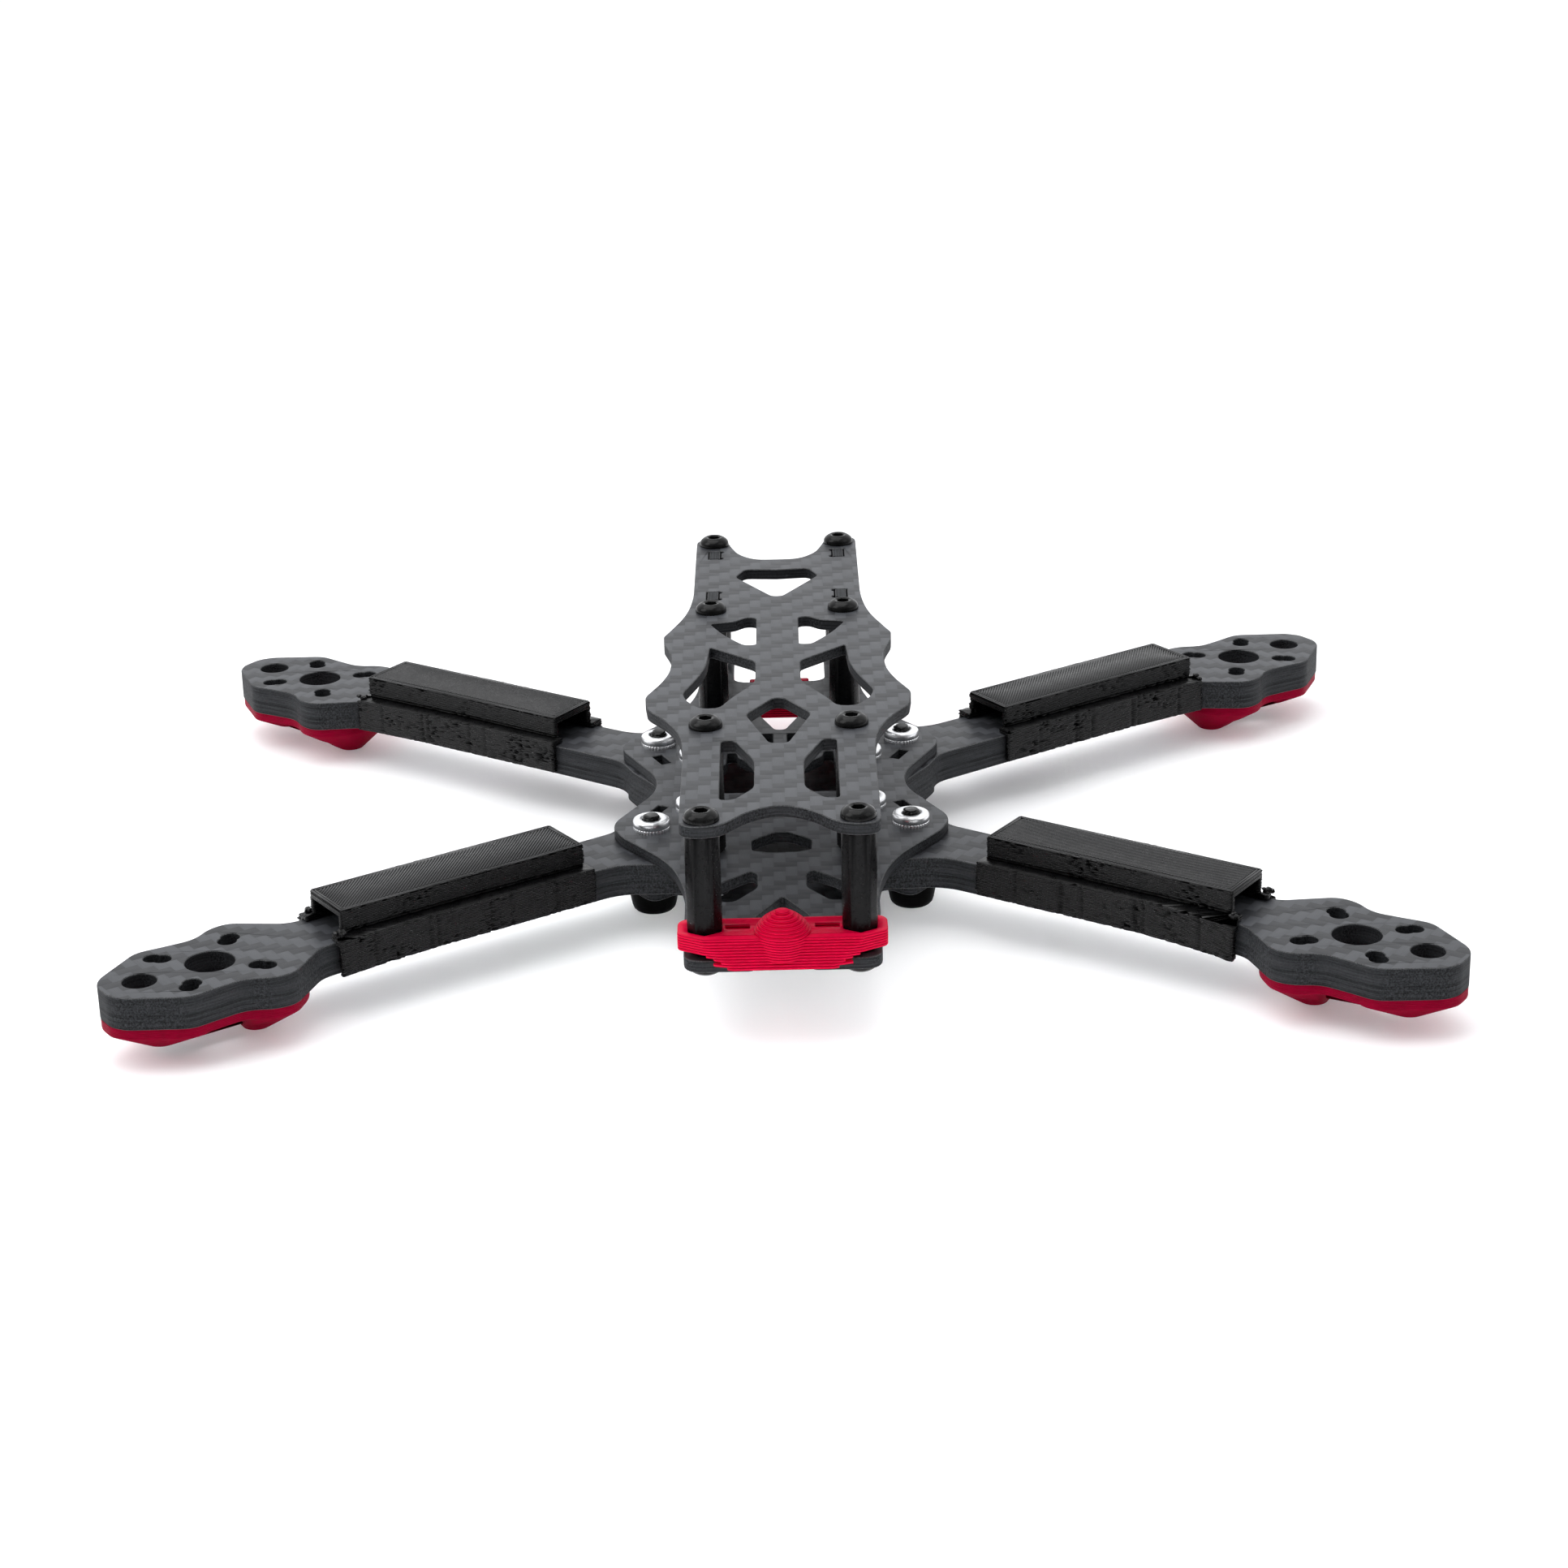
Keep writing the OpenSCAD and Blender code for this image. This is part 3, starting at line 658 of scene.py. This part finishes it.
def sleeve_shape_for(origin, axes, low_u, high_u):
    """Wall of a sleeve: gouges, blobs and upright seams, ragged ends, a slit under the tunnel."""
    def shape(loop, z, normals, seed):
        u = (loop - origin[:2]) @ axes[0, :2]
        v = (loop - origin[:2]) @ axes[1, :2]
        sideways = np.abs(normals @ axes[1, :2]) > 0.7
        up = z - ARM_TOP
        dents = []
        for k in range(len(loop)):
            here = Vector((u[k] * 1.3, up * 0.9, seed + (5 if v[k] > 0 else 0)))
            spot = noise.noise(here)
            dent = 0.12 * noise.noise(Vector((u[k] * 1.3, z * 7.3, seed)))
            if sideways[k]:
                patch = max(0.0, noise.noise(Vector((u[k] * 0.16, seed, up * 0.3))) + 0.12)
                pick = noise.noise(Vector((u[k] * 1.5, up * 1.8, seed + (9 if v[k] > 0 else 0))))
                dent += 1.5 * patch * max(0.0, pick - 0.06) - 0.35 * patch * max(0.0, -pick - 0.2)
                dent += 0.30 * max(0.0, spot - 0.36)
                if SLIT[0] < up < SLIT[1] and abs(v[k]) > 5:
                    dent += 0.22
                for seam in SEAMS:
                    if abs(u[k] - low_u - seam * (high_u - low_u)) < SEAM_HALF_W and up < SLIT[0]:
                        dent += 0.16
            from_end = min(u[k] - low_u, high_u - u[k])
            if from_end < RAGGED:
                ragged = noise.noise(Vector((v[k] * 1.7, z * 3.1, seed + 20)))
                dent += 0.16 * ragged * (RAGGED - from_end) / RAGGED
            dents.append(dent)
        return np.array(dents)

    return shape


def top_beads(low_u, high_u, half_w, z):
    """The last layer of a sleeve's top: two lines round the edge and diagonal lines that fill it."""
    verts, faces = [], []

    def line(a, b, lift=0.0):
        a, b = np.array(a), np.array(b)
        direction = (b - a) / np.linalg.norm(b - a)
        side = np.array([-direction[1], direction[0]])
        start = len(verts)
        section = [(-0.5, -0.9), (-0.42, 0.0), (-0.2, 0.8), (0.2, 0.8), (0.42, 0.0), (0.5, -0.9)]
        stations = [(a, 0.3), (a + direction * 0.14, 0.9), (b - direction * 0.14, 0.9), (b, 0.3)]
        for centre, size in stations:
            for across, rise in section:
                p = centre + side * across * BEAD_W * size
                verts.append([p[0], p[1], z + lift + rise * BEAD_H * size])
        m = len(section)
        for k in range(len(stations) - 1):
            for j in range(m):
                jj = (j + 1) % m
                faces.append([start + k * m + j, start + (k + 1) * m + j,
                              start + (k + 1) * m + jj, start + k * m + jj])
        faces.append([start + j for j in range(m)])
        faces.append([start + (len(stations) - 1) * m + j for j in reversed(range(m))])

    overlap = 0.92
    for k in (0.5, 1.5):
        inset = k * BEAD_W * overlap
        corners = [(low_u + inset, -half_w + inset), (high_u - inset, -half_w + inset),
                   (high_u - inset, half_w - inset), (low_u + inset, half_w - inset)]
        for a, b in zip(corners, corners[1:] + corners[:1]):
            line(a, b, 0.02)
    inset = 2.0 * BEAD_W * overlap
    low, high, half = low_u + inset, high_u - inset, half_w - inset
    pitch = BEAD_W * 0.96 * math.sqrt(2)
    # lines of u - v = c, clipped to the rectangle that is left
    c = low - half + pitch / 2
    while c < high + half:
        v0, v1 = max(-half, low - c), min(half, high - c)
        if v1 - v0 > 0.4:
            line((c + v0, v0), (c + v1, v1))
        c += pitch
    return np.array(verts), faces


# How far each soft sleeve has slipped outwards along its arm and how far its skirts' outer ends droop, in
# mm, and how many lumps of waste hang at its outer end
SLIP = {"front_left": 0.0, "front_right": 0.2, "rear_left": -0.4, "rear_right": 1.0}
SAG = {"front_left": 0.4, "front_right": 0.5, "rear_left": 0.6, "rear_right": 1.3}
FRAY = {"front_left": 5, "front_right": 6, "rear_left": 16, "rear_right": 11}


def fray(corner, seed, end_u, half_w, origin, axes):
    """Lumps of filament on the ledges at the outer end, where the nozzle wiped itself."""
    rng = np.random.default_rng(int(seed * 10))
    lumps = []
    for k in range(FRAY[corner]):
        side = 1 if k % 3 else -1
        size = rng.uniform(0.3, 0.65)
        scatter = np.clip(rng.normal(0, 0.38, 3), -0.8, 0.8)
        at = np.array([end_u - 0.75, side * (half_w + 0.55), ARM_TOP + 1.15]) + scatter
        rings = [ring(lambda a, t=t: size * math.sin(t) * (1 + 0.25 * math.sin(3 * a + k)),
                      -size * 0.8 * math.cos(t), 10) for t in (0.35, 0.9, 1.5, 2.1, 2.75)]
        points, faces = turned(rings)
        lumps.append((points + at, faces))
    points, faces = merged(lumps)
    crown = np.full(len(points), 0.9)
    piece(f"sleeve_fray_{corner}", points @ axes + origin, faces, MATERIALS["black_print"], "black_print",
          crown=crown)


def arm_sleeve(corner, seed):
    """One sleeve: sliced walls, beads on its top, then the bend and slip of soft plastic."""
    node = f"arm_sleeve_{corner}"
    origin, axes = arm_axes(corner, mirrored=False)
    points, _ = triangles(node, [0, 1, 2])
    local = (points - origin) @ axes.T
    low_u, high_u = local[:, 0].min(), local[:, 0].max()
    top_z = local[:, 2].max()
    roof = local[local[:, 2] > top_z - 0.01]
    wall = sleeve_shape_for(origin, axes, low_u, high_u)
    printed = layered(node, SLEEVE_LAYER, 0.42, SLEEVE_GROOVE, wall, seed)
    beads, bead_faces = top_beads(roof[:, 0].min(), roof[:, 0].max(), roof[:, 1].max(), top_z)
    verts = np.vstack([(printed.points() - origin) @ axes.T, beads])
    # bead points below the top's height get crown 0, painted shade at their edges; crests above it get up to
    # 2, a painted highlight
    crown = np.concatenate([printed.crown(), np.clip((beads[:, 2] - top_z) / 0.08, 0, 2)])
    faces = printed.faces + [[k + printed.count for k in f] for f in bead_faces]
    # the tunnel bows up in the middle and the skirts sag towards their outer ends
    share = (verts[:, 0] - low_u) / (high_u - low_u)
    sag = np.clip((share - 0.55) / 0.45, 0, 1) ** 2
    verts[:, 2] += 0.2 * np.sin(np.pi * share) * (verts[:, 2] > ARM_TOP + 1.2)
    verts[:, 2] -= SAG[corner] * sag * (np.abs(verts[:, 1]) > 6)
    verts[:, 0] += SLIP[corner]
    piece(f"{node}_print", verts @ axes + origin, faces, MATERIALS["black_print"], "black_print", node, 60,
          crown)
    fray(corner, seed, high_u + SLIP[corner], roof[:, 1].max(), origin, axes)


for number, corner in enumerate(CORNERS):
    arm_sleeve(corner, 11.3 * (number + 1))


# ---------------------------------------------------------------- threaded hardware

THREAD = 0.5            # pitch
THREAD_DEPTH = 0.22
HEAD_R, HEAD_H, SHAFT_R = 2.85, 1.65, 1.5
RIM_H = 0.42            # height of a screw head's rolled edge
CROWN_R = 1.62          # where the dome ends at the top
DOME_TURN = math.radians(56)
SOCKET = 1.02           # half the socket's width across flats


def threaded(radius, length, count=24):
    """Rings of a threaded shaft from z = 0 down to -length, with a chamfered end."""
    steps = int(length / THREAD * 5)
    angles = np.linspace(0, 2 * np.pi, count, endpoint=False)
    rings = []
    for k in range(steps + 1):
        z = -length * k / steps
        wave = np.abs(((z / THREAD - angles / (2 * np.pi)) % 1) * 2 - 1)
        depth = THREAD_DEPTH * np.clip(1.3 * wave - 0.15, 0, 1)
        depth = depth + max(0.0, 0.35 - (length + z)) * 0.8
        r = radius - depth
        rings.append(np.column_stack([r * np.cos(angles), r * np.sin(angles), np.full(count, z)]))
    return rings


def button_screw(shaft_len):
    """Button head with a rolled edge and a hexagon socket, head up from z = 0, threaded shaft down."""
    dome = [(0.0, HEAD_R - 0.12), (0.06, HEAD_R - 0.02), (0.22, HEAD_R), (RIM_H, HEAD_R - 0.05)]
    steps = 8
    for k in range(1, steps + 1):
        t = k / steps * DOME_TURN
        rise = math.sin(t) / math.sin(DOME_TURN)
        reach = (math.cos(t) - math.cos(DOME_TURN)) / (1 - math.cos(DOME_TURN))
        dome.append((RIM_H + (HEAD_H - RIM_H) * rise, CROWN_R + (HEAD_R - 0.05 - CROWN_R) * reach))
    rings = [ring(r, z) for z, r in dome]
    socket = hexagon(SOCKET)
    rings += [ring(1.5, HEAD_H), ring(lambda a: max(1.32, socket(a) + 0.03), HEAD_H - 0.03),
              ring(socket, HEAD_H - 0.16), ring(socket, HEAD_H - 1.05), ring(0.55, HEAD_H - 1.25)]
    head = turned(rings[::-1])
    head = (head[0], [f[::-1] for f in head[1]])
    shaft = turned(threaded(SHAFT_R, shaft_len)[::-1])
    return merged([head, shaft])


def lock_nut(height, radius):
    """Round press nut: a bright chamfered ring with a finely knurled foot."""
    def knurl(a):
        return radius - 0.05 + 0.06 * math.cos(a * 36)

    bore = SHAFT_R + 0.06
    profile = [(knurl, 0.0), (knurl, 0.42), (radius - 0.1, 0.50), (radius, 0.62), (radius, height - 0.42),
               (radius - 0.12, height - 0.18), (radius - 0.36, height - 0.03), (radius - 0.52, height),
               (SHAFT_R + 0.42, height), (SHAFT_R + 0.26, height - 0.06), (bore, height - 0.32), (bore, 0.0)]
    rings = [ring(r, z, 144) for r, z in profile]
    return turned(rings + [rings[0]], False, False)


def place_mesh(mesh, at, flip=False, turn=0.0):
    """Moves points and faces to a place, turned about z and if asked upside down."""
    points, faces = mesh
    c, s = math.cos(turn), math.sin(turn)
    points = points @ np.array([[c, s, 0], [-s, c, 0], [0, 0, 1]])
    if flip:
        points = points * [1, -1, -1]
    return points + np.asarray(at), faces


def add_screw(node, parts, turn):
    """Puts a detailed screw where each head of the CAD node is. parts lists (x, y, seat, shaft, flip)."""
    made = merged([place_mesh(button_screw(length), (x, y, seat), flip, turn + 1.7 * k)
                   for k, (x, y, seat, length, flip) in enumerate(parts)])
    piece(f"{node}_detail", *made, MATERIALS["black_steel"], "black_steel", node, 32)


def screw_facts(node):
    """Place, seat height and shaft length of a screw node, read off its box."""
    low, high = box_mm(node)
    x, y = (low[:2] + high[:2]) / 2
    if node.startswith("top_screw"):
        return x, y, high[2] - HEAD_H, high[2] - HEAD_H - low[2], False
    return x, y, low[2] + HEAD_H, high[2] - low[2] - HEAD_H, True


for number, name in enumerate([f"top_screw_{p}" for p in POSTS] + [f"base_screw_{p}" for p in POSTS]
                              + [f"arm_screw_{c}" for c in CORNERS]):
    add_screw(name, [screw_facts(name)], 0.9 * number)


nut_low, nut_high = box_mm("arm_nut_front_left")
NUT_R = (nut_high[0] - nut_low[0]) / 2
NUT_H = nut_high[2] - nut_low[2]


def quarter_places(node):
    """Centres of the four like solids of a node, one in each quarter, from the node's box."""
    high = box_mm(node)[1]
    reach = HEAD_R if "screw" in node else NUT_R
    return [(sx * (high[0] - reach), sy * (high[1] - reach)) for sx, sy in CORNERS.values()]


def add_nuts(node, places):
    made = merged([place_mesh(lock_nut(NUT_H, NUT_R), (x, y, DECK)) for x, y in places])
    piece(f"{node}_detail", *made, MATERIALS["zinc"], "zinc", node, 40)


low, high = box_mm("inner_screws")
add_screw("inner_screws", [(x, y, low[2] + HEAD_H, high[2] - low[2] - HEAD_H, True)
                           for x, y in quarter_places("inner_screws")], 0.4)
for corner in CORNERS:
    add_nuts(f"arm_nut_{corner}", [middle(f"arm_nut_{corner}")[:2]])
add_nuts("inner_nuts", quarter_places("inner_nuts"))


def standoff(node):
    """Hexagonal post with turned chamfers at both ends and a bored thread."""
    low, high = box_mm(node)
    half = (high[0] - low[0]) / 2
    soft_corner = half / math.cos(math.pi / 6) - 0.12
    bore, mouth, chamfer = 1.28, 1.55, 0.38

    def flats(a):
        return min(hexagon(half)(a), soft_corner)

    z0, z1 = low[2], high[2]
    end_r = half - 0.02
    rings = [ring(bore, z0), ring(mouth, z0), ring(end_r, z0), ring(flats, z0 + chamfer),
             ring(flats, z1 - chamfer), ring(end_r, z1), ring(mouth, z1), ring(bore, z1)]
    points, faces = turned(rings + [rings[0]], False, False)
    centre = middle(node)
    points = points + [centre[0], centre[1], 0]
    piece(f"{node}_detail", points, faces, MATERIALS["post"], "post_black", node, 28)


for post in POSTS:
    standoff(f"standoff_{post}")


def foot(corner):
    """Tapered rubber bump foot with a moulded rim and a pocket for the screw head."""
    node = f"foot_{corner}"
    low, high = box_mm(node)
    centre, h = (low + high) / 2, high[2] - low[2]
    r = (high[0] - low[0]) / 2
    outline = [(0.0, 1.4), (0.02, 2.6), (0.22, 3.25), (0.62, 3.62), (1.3, 3.84), (h * 0.6, r - 0.16),
               (h - 0.9, r - 0.02), (h - 0.5, r), (h - 0.12, r - 0.03), (h, r - 0.16)]
    pocket = [(h, HEAD_R + 0.22), (h - HEAD_H - 0.1, HEAD_R + 0.1), (h - HEAD_H - 0.1, 0.6)]
    points, faces = turned([ring(radius, z, 64) for z, radius in outline + pocket])
    points = points + [centre[0], centre[1], 0]
    piece(f"{node}_rubber", points, faces, MATERIALS["rubber"], "foot_rubber", node, 40)


for corner in CORNERS:
    foot(corner)


# ---------------------------------------------------------------- floor, light and camera

def floor():
    """A wide white table, which stays out of the part."""
    s = Shader("studio_floor")
    mottle = s.noise(s.add("ShaderNodeTexCoord").outputs["Object"], 3.0, 2.0)
    s.set(Base_Color=s.mix(mottle, (0.93, 0.93, 0.94), (0.95, 0.95, 0.955)), Roughness=0.55,
          Specular_IOR_Level=0.25)
    # the translucent white table is lit a little from below
    s.set(Emission_Color=(0.97, 0.975, 1.0, 1), Emission_Strength=0.12)
    mesh = bpy.data.meshes.new("floor")
    reach = 6.0
    corners = [(-reach, -reach, 0), (reach, -reach, 0), (reach, reach, 0), (-reach, reach, 0)]
    mesh.from_pydata(corners, [], [(0, 1, 2, 3)])
    mesh.materials.append(s.material)
    obj = bpy.data.objects.new("floor", mesh)
    bpy.context.scene.collection.objects.link(obj)
    return obj


def sky(dim, bright):
    """A white sweep overhead and beyond the frame, fading to a dim room behind the camera."""
    world = bpy.data.worlds.new("studio")
    bpy.context.scene.world = world
    world.use_nodes = True
    tree = world.node_tree
    background = tree.nodes["Background"]
    background.inputs["Color"].default_value = (0.975, 0.985, 1.0, 1)
    along = tree.nodes.new("ShaderNodeVectorMath")
    along.operation = "DOT_PRODUCT"
    tree.links.new(tree.nodes.new("ShaderNodeTexCoord").outputs["Generated"], along.inputs[0])
    along.inputs[1].default_value = (0.0, 0.6, 0.35)
    ramp = tree.nodes.new("ShaderNodeMapRange")
    for socket, number in zip(list(ramp.inputs)[1:], (-0.5, 0.5, dim, bright)):
        socket.default_value = number
    tree.links.new(along.outputs["Value"], ramp.inputs[0])
    tree.links.new(ramp.outputs[0], background.inputs["Strength"])


def softbox(name, at, towards, size, watts):
    """A rectangular area light at a place, aimed at another."""
    light = bpy.data.lights.new(name, "AREA")
    light.shape, light.size, light.size_y = "RECTANGLE", *size
    light.energy = watts
    obj = bpy.data.objects.new(name, light)
    bpy.context.scene.collection.objects.link(obj)
    obj.location = at
    obj.rotation_euler = (Vector(towards) - Vector(at)).to_track_quat("-Z", "Y").to_euler()
    return obj


table = floor()
sky(dim=0.15, bright=1.2)
softbox("top_box", (-0.15, 0.05, 0.85), (0, 0, 0), (0.75, 0.75), watts=3.6)
softbox("left_box", (-0.75, -0.2, 0.65), (0, 0, 0), (0.6, 0.6), watts=2.8)
softbox("right_box", (0.75, -0.2, 0.65), (0, 0, 0), (0.6, 0.6), watts=0.8)
# light that grazes the table from the camera's side and leaves the dark frame alone
graze = softbox("table_fill", (0.0, -0.9, 0.22), (0, -0.09, 0), (0.12, 0.1), watts=0.1)
graze.data.spread = math.radians(16)
graze.light_linking.receiver_collection = bpy.data.collections.new("table_only")
graze.light_linking.receiver_collection.objects.link(table)

# The camera stands behind the tail and looks forward along +Y
CAMERA_AZIMUTH, CAMERA_ELEVATION, CAMERA_ROLL = -0.158, 21.307, -1.411
CAMERA_DISTANCE = 0.56523
CAMERA_TARGET = Vector((0.00058, 0.0, ARM_TOP * MM + 0.00152))
LENS = 73.25


def camera():
    """The camera at its distance from the target, rolled about its own axis."""
    az, el, roll = (math.radians(a) for a in (CAMERA_AZIMUTH, CAMERA_ELEVATION, CAMERA_ROLL))
    forward = Vector((math.sin(az) * math.cos(el), math.cos(az) * math.cos(el), -math.sin(el)))
    right = Vector((math.cos(az), -math.sin(az), 0))
    up = right.cross(forward)
    turned_right = right * math.cos(roll) + up * math.sin(roll)
    turned_up = up * math.cos(roll) - right * math.sin(roll)
    data = bpy.data.cameras.new("camera")
    data.lens, data.sensor_width = LENS, 36.0
    data.clip_start, data.clip_end = 0.01, 50.0
    obj = bpy.data.objects.new("camera", data)
    bpy.context.scene.collection.objects.link(obj)
    turn = Matrix((turned_right, turned_up, -forward)).transposed().to_4x4()
    obj.matrix_world = Matrix.Translation(CAMERA_TARGET - forward * CAMERA_DISTANCE) @ turn
    bpy.context.scene.camera = obj


camera()
bpy.context.scene.view_settings.view_transform = "Standard"
